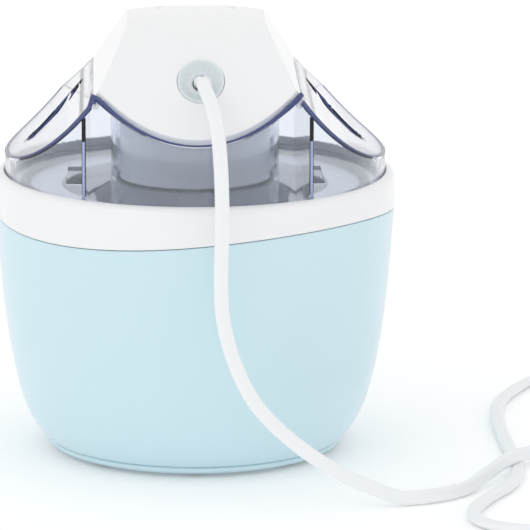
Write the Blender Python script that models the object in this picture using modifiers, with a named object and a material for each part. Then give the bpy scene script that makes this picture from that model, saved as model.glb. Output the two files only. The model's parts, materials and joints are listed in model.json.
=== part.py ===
"""A counter-top ice cream maker: base with freezer bowl, clear lid, motor head and mains lead.

Sizes are in metres. The origin is on the counter, under the middle of the base. +Z is up and the
rear, where the lead comes out, faces -Y.
"""

import math

import bmesh
import bpy
from mathutils import Matrix, Vector
from mathutils.geometry import interpolate_bezier

MM = 0.001
GAP = 0.3 * MM  # between pieces that touch
SLIDE = 1.0 * MM  # round pieces that lift in and out
ROUND = 40  # sides of the large round pieces
SMALL_ROUND = 20  # sides of the small round pieces

# Base
FOOT_H = 2.0 * MM
FOOT_R = 6.5 * MM
FOOT_CIRCLE_R = 60.0 * MM
PLATE_R = 74.0 * MM
PLATE_H = 4.0 * MM
SHELL_FOOT_R = 75.5 * MM
RING_R = 100.0 * MM
SHELL_WAIST_R = RING_R - 10.0 * MM
SHELL_WAIST_Z = 38.0 * MM
SHELL_TOP_R = RING_R - 0.2 * MM
SHELL_WALL = 2.5 * MM
SHELL_FLANGE_R = 58.0 * MM
SEAM_Z = 121.5 * MM
SEAM_WAVE = 4.2 * MM  # the seam rises and falls this much, twice round
PLATE_SCREWS_R = 66.0 * MM

# Collar
RING_TOP_Z = 141.0 * MM
RING_SHOULDER = 4.4 * MM
RING_SKIRT = 2.4 * MM
LEDGE_Z = 129.0 * MM  # the bowl and the lid rest on this ledge
LEDGE_T = 2.5 * MM
LEDGE_R = RING_R - 13.0 * MM

# Lid
LID_R = RING_R - 5.0 * MM
LID_WALL = 2.5 * MM
LID_FLOOR_Z = 135.2 * MM
LID_FLOOR_T = 2.2 * MM
SLEEVE_R = 42.0 * MM
SLEEVE_TOP_Z = 184.0 * MM
SLEEVE_WALL = 2.0 * MM
CHUTE_WALL_X = 54.6 * MM
CHUTE_WALL_T = 2.0 * MM
FILL_X = 70.0 * MM  # middle of the oval filling opening
FILL_Y = 8.0 * MM
FILL_LONG = 20.0 * MM
FILL_SHORT = 9.0 * MM
FILL_TURN = math.radians(52)

# Roof, shared by the lid and the motor head
TOP_Z = 224.5 * MM
CROWN_X = 34.0 * MM
CROWN_DROP = 4.0 * MM
SHOULDER_X = 50.3 * MM
SHOULDER_Z = 191.0 * MM
FACET_FOOT_Z = 150.4 * MM
FACET_SLOPE = 0.38
FACET_CURVE = 11.5  # per metre
REAR_FOOT_Z = 168.8 * MM
REAR_SLOPE = 1.61
REAR_KNEE_Z = 197.6 * MM
FRONT_FOOT_Z = 150.3 * MM
FRONT_SLOPE = 0.77
FRONT_KNEE_Z = 217.3 * MM
APEX_Y = -10.0 * MM

# Motor head
HEAD_WALL = 2.5 * MM
HEAD_SKIRT_Z = 185.6 * MM
COVER_Z = 187.0 * MM
COVER_T = 2.0 * MM
DRUM_R = 37.5 * MM
DRUM_WALL = 2.0 * MM
DRUM_FOOT_Z = 146.0 * MM
DRUM_SKIRT_Z = 137.5 * MM  # the drum's wall goes down past its floor
GLAND_X = 1.5 * MM
GLAND_Z = 199.0 * MM
GLAND_R = 11.4 * MM
GLAND_LENGTH = 7.0 * MM
BUTTON_R = 8.0 * MM
BUTTON_TRAVEL = 2.5 * MM
BUTTON_Y = 21.0 * MM
BUTTON_Z = 207.3 * MM

# Drive
TOOTH = 0.6 * MM  # gear module
OUTPUT_TEETH = 44
IDLER_SMALL_TEETH = 12
IDLER_BIG_TEETH = 28
PINION_TEETH = 12
PINION_SIDE = math.radians(150)  # direction of the pinion seen from the idler
SHAFT_R = 4.0 * MM
SQUARE_R = 5.0 * MM  # corner radius of the square drive
AXLE_R = 2.0 * MM
MOTOR_R = 22.0 * MM
MOTOR_H = 19.0 * MM
PLATE_Z = 167.0 * MM
LOW_GEAR_Z = 152.0 * MM
HIGH_GEAR_Z = 159.5 * MM
GEAR_T = 5.5 * MM

# Freezer bowl and paddle
BOWL_TOP_R = 80.0 * MM
BOWL_FOOT_R = 73.5 * MM
BOWL_FOOT_Z = 20.0 * MM
BOWL_TOP_Z = 126.0 * MM
BOWL_WALL = 1.5 * MM
BORE_TOP_R = 66.0 * MM
BORE_FOOT_R = 62.0 * MM
BORE_FOOT_Z = 32.0 * MM
RIM_R = 91.0 * MM
LINER_WALL = 2.0 * MM
PADDLE_R = 58.5 * MM
PADDLE_T = 4.0 * MM
PADDLE_FOOT_Z = 35.0 * MM
PADDLE_TOP_Z = 112.0 * MM
HUB_R = 9.0 * MM
HUB_TOP_Z = 142.0 * MM

# Mains lead
CORD_R = 2.2 * MM  # half the thickness of the flat lead
COIL_X = 222.0 * MM
COIL_Y = -140.0 * MM
COIL_R = 38.5 * MM
COIL_HALF_WIDTH = 7.5 * MM
COIL_FOOT_Z = 1.2 * MM
COIL_TOP_Z = 9.4 * MM
TIE_T = 0.8 * MM
TIE_WIDTH = 8.0 * MM
TIE_GAP = 0.6 * MM
PLUG_Y = -78.0 * MM  # where the lead enters the plug
PLUG_X = 258.0 * MM
PLUG_LENGTH = 36.0 * MM
PLUG_HALF_WIDTH = 17.5 * MM
PLUG_T = 13.6 * MM
PIN_R = 2.0 * MM
PIN_LENGTH = 19.0 * MM
PIN_SPACING = 19.0 * MM
CORD_ROUTE = [  # from the gland, down behind the base and along the counter to the coil
    (2.0, -83.0, 199.6), (3.4, -92.5, 197.6), (6.4, -101.5, 191.0), (9.2, -109.5, 178.0),
    (10.6, -114.0, 158.0),
    (11.0, -116.0, 135.0), (10.4, -118.0, 113.0), (11.4, -121.0, 91.0), (17.4, -127.0, 69.5),
    (27.5, -131.5, 51.0),
    (44.0, -132.5, 34.2), (64.5, -129.5, 19.0), (84.0, -127.5, 9.0), (98.0, -125.5, 3.8),
    (113.0, -120.5, 2.5),
    (128.0, -109.0, 2.9), (141.5, -88.0, 5.8), (154.5, -66.0, 7.6), (168.0, -46.0, 5.8),
    (184.5, -21.0, 2.8),
    (204.0, 9.0, 2.5), (221.0, 44.0, 2.5), (229.5, 80.0, 2.5), (226.0, 111.0, 2.5), (205.0, 127.5, 2.5),
    (184.0, 118.0, 2.5), (169.0, 93.0, 2.5), (158.5, 62.0, 2.5), (155.5, 24.0, 2.5), (156.5, -18.0, 2.5),
    (158.0, -62.0, 2.3), (152.5, -95.0, 2.5), (138.5, -123.0, 2.5), (130.5, -147.0, 2.5),
    (135.0, -166.5, 2.5),
    (151.0, -176.5, 2.5), (171.0, -178.6, 2.6), (192.0, -178.5, 3.4),
]
TAIL_ROUTE = [(260.5, -110.3, 4.4), (260.2, -99.0, 5.4), (259.0, -88.0, 6.6), (258.0, -78.4, 6.8)]
CORD_STEP = 15.0 * MM

COLOURS = {  # colour, roughness, metallic
    "aqua": ((0.58, 0.76, 0.79), 0.28, 0),
    "white": ((0.86, 0.87, 0.88), 0.22, 0),
    "clear": ((0.75, 0.80, 0.90), 0.05, 0),
    "aluminium": ((0.70, 0.71, 0.73), 0.35, 1),
    "steel": ((0.55, 0.56, 0.58), 0.30, 1),
    "brass": ((0.70, 0.53, 0.25), 0.35, 1),
    "rubber": ((0.05, 0.05, 0.05), 0.80, 0),
    "coolant": ((0.25, 0.50, 0.70), 0.30, 0),
    "nylon": ((0.80, 0.79, 0.74), 0.45, 0),
    "cord": ((0.84, 0.85, 0.85), 0.40, 0),
}


# ---------------------------------------------------------------- modelling helpers


def clear_scene():
    for old in list(bpy.data.objects):
        bpy.data.objects.remove(old, do_unlink=True)


def collection(name):
    made = bpy.data.collections.new(name)
    bpy.context.scene.collection.children.link(made)
    return made


def material(name):
    if name in bpy.data.materials:
        return bpy.data.materials[name]
    colour, roughness, metallic = COLOURS[name]
    made = bpy.data.materials.new(name)
    made.use_nodes = True
    shader = made.node_tree.nodes["Principled BSDF"]
    shader.inputs["Base Color"].default_value = (*colour, 1)
    shader.inputs["Roughness"].default_value = roughness
    shader.inputs["Metallic"].default_value = metallic
    return made


def add_object(name, mesh, colour=None):
    """A part when it has a colour, and otherwise a cutter."""
    made = bpy.data.objects.new(name, mesh)
    if colour:
        PARTS.objects.link(made)
        mesh.materials.append(material(colour))
    else:
        CUTTERS.objects.link(made)
        made.hide_render = True
        made.display_type = "WIRE"
    return made


def mesh_from(bm, name):
    bmesh.ops.recalc_face_normals(bm, faces=bm.faces)
    mesh = bpy.data.meshes.new(name)
    bm.to_mesh(mesh)
    bm.free()
    return mesh


def turned(name, outline, colour=None, sides=ROUND):
    """Turns an outline of (radius, height) that runs down its outer side; ends on the axis stay open."""
    mesh = bpy.data.meshes.new(name)
    open_ended = outline[0][0] == 0 and outline[-1][0] == 0
    edges = [(i, i + 1) for i in range(len(outline) - 1)]
    if not open_ended:
        edges.append((len(outline) - 1, 0))
    mesh.from_pydata([(r, 0, z) for r, z in outline], edges, [])
    made = add_object(name, mesh, colour)
    screw = made.modifiers.new("turn", "SCREW")
    screw.steps = screw.render_steps = sides
    screw.use_merge_vertices = True
    screw.merge_threshold = 1e-6
    screw.use_smooth_shade = True
    return made


def prism(name, outline, low, high, plane="XY", colour=None):
    """A flat outline in the plane XY, XZ or YZ, pushed from low to high along the third axis."""
    place = {
        "XY": lambda u, v: (u, v, low),
        "XZ": lambda u, v: (u, low, v),
        "YZ": lambda u, v: (low, u, v),
    }[plane]
    along = {"XY": (0, 0, 1), "XZ": (0, 1, 0), "YZ": (1, 0, 0)}[plane]
    bm = bmesh.new()
    face = bm.faces.new([bm.verts.new(place(u, v)) for u, v in outline])
    pushed = bmesh.ops.extrude_face_region(bm, geom=[face])
    moved = [v for v in pushed["geom"] if isinstance(v, bmesh.types.BMVert)]
    bmesh.ops.translate(bm, verts=moved, vec=Vector(along) * (high - low))
    return add_object(name, mesh_from(bm, name), colour)


def rods(name, places, radius, low, high, sides=SMALL_ROUND, colour=None):
    """Upright round rods at each (x, y), in one mesh."""
    bm = bmesh.new()
    for x, y in places:
        centre = Matrix.Translation((x, y, (low + high) / 2))
        bmesh.ops.create_cone(
            bm, cap_ends=True, segments=sides, radius1=radius, radius2=radius, depth=high - low, matrix=centre
        )
    return add_object(name, mesh_from(bm, name), colour)


def block(name, low, high, colour=None):
    outline = [(low[0], low[1]), (high[0], low[1]), (high[0], high[1]), (low[0], high[1])]
    return prism(name, outline, low[2], high[2], "XY", colour)


def combine(target, tool, operation="DIFFERENCE"):
    modifier = target.modifiers.new(tool.name, "BOOLEAN")
    modifier.operation = operation
    modifier.object = tool
    return target


def at_corners(count, radius, first=math.radians(45)):
    step = 2 * math.pi / count
    return [(radius * math.cos(first + i * step), radius * math.sin(first + i * step)) for i in range(count)]


def curve_points(*controls, count=6):
    """Points along a cubic curve in a plane, without its first one."""
    found = interpolate_bezier(*[Vector((*c, 0)) for c in controls], count + 1)
    return [(p.x, p.y) for p in found[1:]]


def offset(outline, inward):
    """An open outline moved to its right-hand side, with its corners kept."""
    moved = []
    for i, here in enumerate(outline):
        sides = []
        for a, b in ((i - 1, i), (i, i + 1)):
            if a >= 0 and b < len(outline):
                run = Vector(outline[b]) - Vector(outline[a])
                sides.append(Vector((run.y, -run.x)).normalized())
        middle = sum(sides, Vector((0, 0))).normalized()
        spread = max(middle.dot(sides[0]), 0.3)
        moved.append(tuple(Vector(here) + middle * inward / spread))
    return moved


def seam_height(angle):
    return -SEAM_WAVE * math.sin(2 * angle)


def wave_seam(part, still_z, rigid_z=None):
    """Bends a turned part so that its edge at the seam follows the wave. The bend fades out towards still_z,
    or, with rigid_z, whatever is below that height moves whole and the rest stays level."""
    graph = bpy.context.evaluated_depsgraph_get()
    mesh = bpy.data.meshes.new_from_object(part.evaluated_get(graph))
    part.modifiers.clear()
    part.data = mesh
    for vertex in mesh.vertices:
        if rigid_z is None:
            share = min(max((vertex.co.z - still_z) / (SEAM_Z - still_z), 0), 1)
        else:
            share = float(vertex.co.z < rigid_z)
        vertex.co.z += share * seam_height(math.atan2(vertex.co.y, vertex.co.x))


# ---------------------------------------------------------------- outlines that pieces share


def facet_z(x):
    run = LID_R - abs(x)
    return FACET_FOOT_Z + FACET_SLOPE * run + FACET_CURVE * run * run


def facet_outline(first_x):
    steps = 8
    xs = [first_x + (LID_R + 2 * MM - first_x) * i / steps for i in range(steps + 1)]
    return [(x, facet_z(x)) for x in xs]


def crown_outline():
    """The head's roof across the middle, from the left shoulder to the right one."""
    steps = 6
    crown = []
    for i in range(steps + 1):
        x = CROWN_X * (2 * i / steps - 1)
        crown.append((x, TOP_Z - CROWN_DROP * (x / CROWN_X) ** 2))
    return [(-SHOULDER_X, SHOULDER_Z), *crown, (SHOULDER_X, SHOULDER_Z)]


def rear_y(z):
    return -LID_R + (z - REAR_FOOT_Z) / REAR_SLOPE


def front_y(z):
    return LID_R - (z - FRONT_FOOT_Z) / FRONT_SLOPE


def side_outline(low_z):
    """The roof seen from the side, from the rear foot over the top to the front foot."""
    rear_knee = (rear_y(REAR_KNEE_Z), REAR_KNEE_Z)
    front_knee = (front_y(FRONT_KNEE_Z), FRONT_KNEE_Z)
    top = (APEX_Y, TOP_Z)
    rear_handle = (rear_knee[0] + 7.4 * MM, REAR_KNEE_Z + 11.9 * MM)
    rear = curve_points(rear_knee, rear_handle, (APEX_Y - 30 * MM, TOP_Z), top, count=8)
    reach = 6 * MM
    front_handle = (front_knee[0] - reach, FRONT_KNEE_Z + reach * FRONT_SLOPE)
    front = curve_points(top, (APEX_Y + reach, TOP_Z), front_handle, front_knee, count=4)
    return [(rear_y(low_z), low_z), rear_knee, *rear, *front, (front_y(low_z), low_z)]


def shell_outline(inset, foot_z):
    """The base's outer curve from the seam down to its foot."""
    top, waist = (SHELL_TOP_R - inset, SEAM_Z), (SHELL_WAIST_R - inset, SHELL_WAIST_Z)
    foot = (SHELL_FOOT_R - inset, foot_z)
    upper = curve_points(
        top, (top[0] - 2.2 * MM, SEAM_Z - 28 * MM), (waist[0] + 6.4 * MM, waist[1] + 28 * MM), waist, count=4
    )
    lower = curve_points(
        waist, (waist[0] - 3 * MM, waist[1] - 13 * MM), (foot[0] + 8.7 * MM, foot_z + 9.5 * MM), foot, count=4
    )
    return [top, *upper, *lower]


def gear_outline(teeth, turn):
    """A spur gear's outline, with teeth a little slim so that the pair runs free."""
    pitch_r = teeth * TOOTH / 2
    step = 2 * math.pi / teeth
    corners = [(-0.29, pitch_r - 1.15 * TOOTH), (-0.12, pitch_r + 0.85 * TOOTH)]
    corners += [(-corners[1][0], corners[1][1]), (-corners[0][0], corners[0][1])]
    outline = []
    for tooth in range(teeth):
        for share, radius in corners:
            angle = turn + (tooth + share) * step
            outline.append((radius * math.cos(angle), radius * math.sin(angle)))
    return outline


def moved(outline, place):
    return [(x + place[0], y + place[1]) for x, y in outline]


def circle(radius, sides=SMALL_ROUND):
    step = 2 * math.pi / sides
    return [(radius * math.cos(i * step), radius * math.sin(i * step)) for i in range(sides)]


# ---------------------------------------------------------------- base


def make_screw(name, place, head_z, length, upside_down=False, head_r=2.8 * MM, shank_r=1.3 * MM):
    """A pan-head screw on a vertical axis, with a slot-free head and a blunt tip."""
    head_h = 1.6 * MM
    outline = [
        (0, head_h), (head_r * 0.7, head_h), (head_r, head_h * 0.5), (head_r, 0), (shank_r, 0),
        (shank_r, -length), (0, -length),
    ]
    screw = turned(name, outline, "steel", 12)
    screw.location = (*place, head_z)
    if upside_down:
        screw.rotation_euler = (math.pi, 0, 0)
    return screw


def make_base():
    flange_top = FOOT_H + PLATE_H + GAP + SHELL_WALL
    shell_foot = FOOT_H + PLATE_H + GAP
    outer = shell_outline(0, shell_foot)
    inner = [p for p in reversed(shell_outline(SHELL_WALL, shell_foot)) if p[1] > flange_top + 1 * MM]
    flange_end = (inner[0][0] - 1.2 * MM, flange_top)
    inner_foot = [(SHELL_FLANGE_R, shell_foot), (SHELL_FLANGE_R, flange_top), flange_end]
    shell = turned("base_shell", [*inner_foot, *inner, *outer], "aqua")
    wave_seam(shell, SHELL_WAIST_Z + 30 * MM)

    screw_places = at_corners(4, PLATE_SCREWS_R, 0)
    foot_places = at_corners(4, FOOT_CIRCLE_R)
    plate = turned(
        "base_plate",
        [(0, FOOT_H + PLATE_H), (PLATE_R - 1 * MM, FOOT_H + PLATE_H), (PLATE_R, FOOT_H + PLATE_H - 1 * MM),
         (PLATE_R, FOOT_H + 1.5 * MM), (PLATE_R - 1.5 * MM, FOOT_H), (0, FOOT_H)],
        "aqua",
    )
    combine(plate, rods("plate_screw_wells", screw_places, 3.2 * MM, 0, FOOT_H + 2 * MM, 16))
    combine(plate, rods("plate_screw_holes", screw_places, 1.6 * MM, 0, FOOT_H + PLATE_H + 1 * MM, 12))
    combine(plate, rods("foot_holes", foot_places, 2.5 * MM + GAP, 0, FOOT_H + 3 * MM + GAP, 12))
    hole_foot, hole_top = shell_foot - 1 * MM, flange_top + 1 * MM
    combine(shell, rods("shell_screw_holes", screw_places, 1.6 * MM, hole_foot, hole_top, 12))
    for i, place in enumerate(screw_places):
        make_screw(f"base_screw_{i + 1}", place, FOOT_H + 2 * MM - GAP, 5.6 * MM, upside_down=True)
    for i, place in enumerate(foot_places):
        foot = turned(
            f"foot_{i + 1}",
            [(0, FOOT_H + 3 * MM), (2.5 * MM, FOOT_H + 3 * MM), (2.5 * MM, FOOT_H - GAP),
             (FOOT_R, FOOT_H - GAP),
             (FOOT_R - 0.5 * MM, 0), (0, 0)],
            "rubber", 16,
        )
        foot.location = (*place, 0)

    ledge_foot = LEDGE_Z - LEDGE_T
    well_r = LID_R + GAP
    shoulder = [
        (RING_R - RING_SHOULDER * (1 - math.cos(a)), RING_TOP_Z - RING_SHOULDER * (1 - math.sin(a)))
        for a in [math.radians(90 - 18 * i) for i in range(6)]
    ]
    ring = turned(
        "top_ring",
        [(RING_R - RING_SKIRT, SEAM_Z + GAP), (RING_R - RING_SKIRT, ledge_foot), (LEDGE_R, ledge_foot),
         (LEDGE_R, LEDGE_Z), (well_r, LEDGE_Z), (well_r, RING_TOP_Z), *shoulder, (RING_R, SEAM_Z + GAP)],
        "white",
    )
    wave_seam(ring, SEAM_Z, rigid_z=ledge_foot - 1 * MM)

    liner_top = ledge_foot - 0.4 * MM
    bore_top = BOWL_TOP_R + SLIDE + 1 * MM
    bore_foot = BOWL_FOOT_R + SLIDE
    floor = BOWL_FOOT_Z - GAP
    turned(
        "liner",
        [(0, floor), (bore_foot, floor), (bore_top, liner_top), (RING_R - SHELL_WALL - 1.4 * MM, liner_top),
         (RING_R - SHELL_WALL - 1.4 * MM, liner_top - 1.6 * MM),
         (bore_top + LINER_WALL, liner_top - 1.6 * MM),
         (bore_foot + LINER_WALL, floor - LINER_WALL), (0, floor - LINER_WALL)],
        "white",
    )


# ---------------------------------------------------------------- freezer bowl and paddle


def make_bowl():
    wall = BOWL_WALL
    turned(
        "bowl_outer",
        [(0, BOWL_FOOT_Z + wall), (BOWL_FOOT_R - wall, BOWL_FOOT_Z + wall), (BOWL_TOP_R - wall, BOWL_TOP_Z),
         (BOWL_TOP_R, BOWL_TOP_Z), (BOWL_FOOT_R, BOWL_FOOT_Z), (0, BOWL_FOOT_Z)],
        "aluminium",
    )
    turned(
        "bowl_inner",
        [(0, BORE_FOOT_Z), (BORE_FOOT_R - 4 * MM, BORE_FOOT_Z), (BORE_FOOT_R, BORE_FOOT_Z + 4 * MM),
         (BORE_TOP_R, BOWL_TOP_Z), (BORE_TOP_R + wall, BOWL_TOP_Z),
         (BORE_FOOT_R + wall, BORE_FOOT_Z + 3 * MM),
         (BORE_FOOT_R - 3 * MM, BORE_FOOT_Z - wall), (0, BORE_FOOT_Z - wall)],
        "aluminium",
    )
    inner_r, outer_r = BORE_TOP_R + wall + GAP, BOWL_TOP_R - wall - GAP
    turned(
        "bowl_coolant",
        [(0, BORE_FOOT_Z - wall - GAP), (BORE_FOOT_R - 3 * MM, BORE_FOOT_Z - wall - GAP),
         (BORE_FOOT_R + wall + GAP, BORE_FOOT_Z + 3 * MM), (inner_r, BOWL_TOP_Z - 4 * MM),
         (outer_r - 0.4 * MM, BOWL_TOP_Z - 4 * MM),
         (BOWL_FOOT_R - wall - GAP - 0.2 * MM, BOWL_FOOT_Z + wall + GAP),
         (0, BOWL_FOOT_Z + wall + GAP)],
        "coolant",
    )
    rim_foot, rim_top = BOWL_TOP_Z + GAP, LEDGE_Z + GAP + 3 * MM
    turned(
        "bowl_rim",
        [(BORE_TOP_R, rim_foot), (BORE_TOP_R, rim_top), (RIM_R, rim_top), (RIM_R, LEDGE_Z + GAP),
         (BOWL_TOP_R, LEDGE_Z + GAP), (BOWL_TOP_R, rim_foot)],
        "white",
    )
    seal_top = LID_FLOOR_Z - GAP
    turned(
        "bowl_seal",
        [(82 * MM, rim_top + GAP), (83 * MM, seal_top), (87 * MM, seal_top), (88 * MM, rim_top + GAP)],
        "rubber",
    )


def make_paddle():
    taper = (PADDLE_TOP_Z - PADDLE_FOOT_Z) * 0.035
    outline = [
        (-PADDLE_R + 5 * MM, PADDLE_FOOT_Z), (PADDLE_R - 5 * MM, PADDLE_FOOT_Z),
        (PADDLE_R, PADDLE_FOOT_Z + 5 * MM),
        (PADDLE_R + taper, PADDLE_TOP_Z), (PADDLE_R - 11 * MM, PADDLE_TOP_Z),
        (PADDLE_R - 14 * MM, PADDLE_FOOT_Z + 40 * MM),
        (HUB_R, PADDLE_FOOT_Z + 52 * MM), (-HUB_R, PADDLE_FOOT_Z + 52 * MM),
        (-PADDLE_R + 14 * MM, PADDLE_FOOT_Z + 40 * MM), (-PADDLE_R + 11 * MM, PADDLE_TOP_Z),
        (-PADDLE_R - taper, PADDLE_TOP_Z),
        (-PADDLE_R, PADDLE_FOOT_Z + 5 * MM),
    ]
    paddle = prism("paddle", outline, -PADDLE_T / 2, PADDLE_T / 2, "XZ", "white")
    low, high = PADDLE_FOOT_Z + 9 * MM, PADDLE_FOOT_Z + 40 * MM
    for side in (-1, 1):
        window = [
            (side * (HUB_R + 5 * MM), low), (side * (PADDLE_R - 12 * MM), low),
            (side * (PADDLE_R - 16 * MM), high - 8 * MM), (side * (HUB_R + 5 * MM), high),
        ]
        combine(paddle, prism(f"paddle_window_{side + 2}", window, -PADDLE_T, PADDLE_T, "XZ"))
    combine(paddle, rods("paddle_hub", [(0, 0)], HUB_R, PADDLE_FOOT_Z, HUB_TOP_Z), "UNION")
    socket = rods("paddle_socket", [(0, 0)], SQUARE_R + 2 * GAP, HUB_TOP_Z - 15 * MM, HUB_TOP_Z + 5 * MM, 4)
    combine(paddle, socket)


# ---------------------------------------------------------------- lid


def lid_outlines(low):
    """The hood's outer shape seen from the rear and from the side."""
    left = [(-x, z) for x, z in reversed(facet_outline(SHOULDER_X))]
    right = facet_outline(SHOULDER_X)
    across = [(-LID_R - 2 * MM, low), *left, *right, (LID_R + 2 * MM, low)]
    return across, side_outline(low)


def below_roof(name, foot_z, inset, colour=None):
    """The cylinder below the four sloped faces, made smaller by an inset."""
    across, side = lid_outlines(LEDGE_Z - 20 * MM)
    made = rods(name, [(0, 0)], LID_R - inset, foot_z, TOP_Z + 5 * MM, ROUND, colour)
    across_prism = prism(name + "_across", offset(across, inset), -2 * LID_R, 2 * LID_R, "XZ")
    side_prism = prism(name + "_side", offset(side, inset), -2 * LID_R, 2 * LID_R, "YZ")
    return combine(combine(made, across_prism, "INTERSECT"), side_prism, "INTERSECT")


def fill_oval(sign):
    oval = []
    for u, v in circle(1, 24):
        along, across_it = u * FILL_LONG, v * FILL_SHORT
        x = FILL_X + along * math.cos(FILL_TURN) + across_it * math.sin(FILL_TURN)
        y = FILL_Y - along * math.sin(FILL_TURN) + across_it * math.cos(FILL_TURN)
        oval.append((sign * x, y))
    return oval


def make_hood():
    """The clear wall and its sloped sides, open below, and open in the middle for the motor head."""
    low = LEDGE_Z + GAP
    room_foot = low - 5 * MM
    hood = below_roof("lid_hood", low, 0, "clear")
    room_r = LID_R - LID_WALL
    slot_x = SHOULDER_X + GAP
    middle = rods("lid_middle", [(0, 0)], room_r - 0.1 * MM, LID_FLOOR_Z, TOP_Z + 10 * MM, ROUND)
    slot = block("lid_slot", (-slot_x, -LID_R, low), (slot_x, LID_R, TOP_Z + 20 * MM))
    combine(middle, slot, "INTERSECT")
    under = offset(facet_outline(SHOULDER_X - 5 * MM), LID_WALL)
    room_outline = [(-LID_R, room_foot), *[(-x, z) for x, z in reversed(under)], *under, (LID_R, room_foot)]
    room = rods("lid_room", [(0, 0)], room_r, room_foot, TOP_Z, ROUND)
    combine(room, prism("lid_room_across", room_outline, -LID_R, LID_R, "XZ"), "INTERSECT")
    side = offset(side_outline(room_foot - 5 * MM), LID_WALL)
    combine(room, prism("lid_room_side", side, -LID_R, LID_R, "YZ"), "INTERSECT")
    combine(hood, combine(room, middle, "UNION"))
    for sign in (-1, 1):
        combine(hood, prism(f"fill_opening_{sign + 2}", fill_oval(sign), LID_FLOOR_Z, TOP_Z))


def make_tray():
    """The clear floor of the lid, with the sleeve round the drive and the walls of the two side chutes."""
    low = LEDGE_Z
    floor_top = LID_FLOOR_Z + LID_FLOOR_T
    tray_r = LID_R - LID_WALL - GAP
    tray = rods("lid_tray", [(0, 0)], tray_r, LID_FLOOR_Z, floor_top, ROUND, "clear")
    for sign in (-1, 1):
        x = sign * CHUTE_WALL_X
        wall = block(
            f"chute_wall_{sign + 2}",
            (x - CHUTE_WALL_T / 2, -LID_R, floor_top - 1 * MM), (x + CHUTE_WALL_T / 2, LID_R, TOP_Z),
        )
        limit = below_roof(f"chute_limit_{sign + 2}", low, LID_WALL + 2 * GAP)
        combine(tray, combine(wall, limit, "INTERSECT"), "UNION")
    combine(tray, rods("lid_sleeve", [(0, 0)], SLEEVE_R, LID_FLOOR_Z + 0.5 * MM, SLEEVE_TOP_Z, 48), "UNION")
    combine(tray, rods("lid_bore", [(0, 0)], SLEEVE_R - SLEEVE_WALL, low - 5 * MM, SLEEVE_TOP_Z + 1 * MM, 48))
    for sign in (-1, 1):
        near, far = CHUTE_WALL_X + CHUTE_WALL_T / 2 + 1 * MM, BORE_TOP_R - 2 * MM
        low_x, high_x = sorted((sign * near, sign * far))
        mouth_high = (high_x, 22 * MM, floor_top + 1 * MM)
        mouth = block(f"chute_mouth_{sign + 2}", (low_x, -22 * MM, low), mouth_high)
        combine(tray, mouth)


# ---------------------------------------------------------------- motor head


def rear_axis():
    """The direction that points out of the rear face."""
    return Vector((0, -REAR_SLOPE, 1)).normalized()


def aimed(part, place, direction):
    """Puts a part that was made upright at a place, with its top towards a direction."""
    part.location = place
    part.rotation_euler = Vector(direction).to_track_quat("Z", "Y").to_euler()
    return part


def button_axis():
    """The direction that points out of the front face."""
    return Vector((0, FRONT_SLOPE, 1)).normalized()


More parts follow.
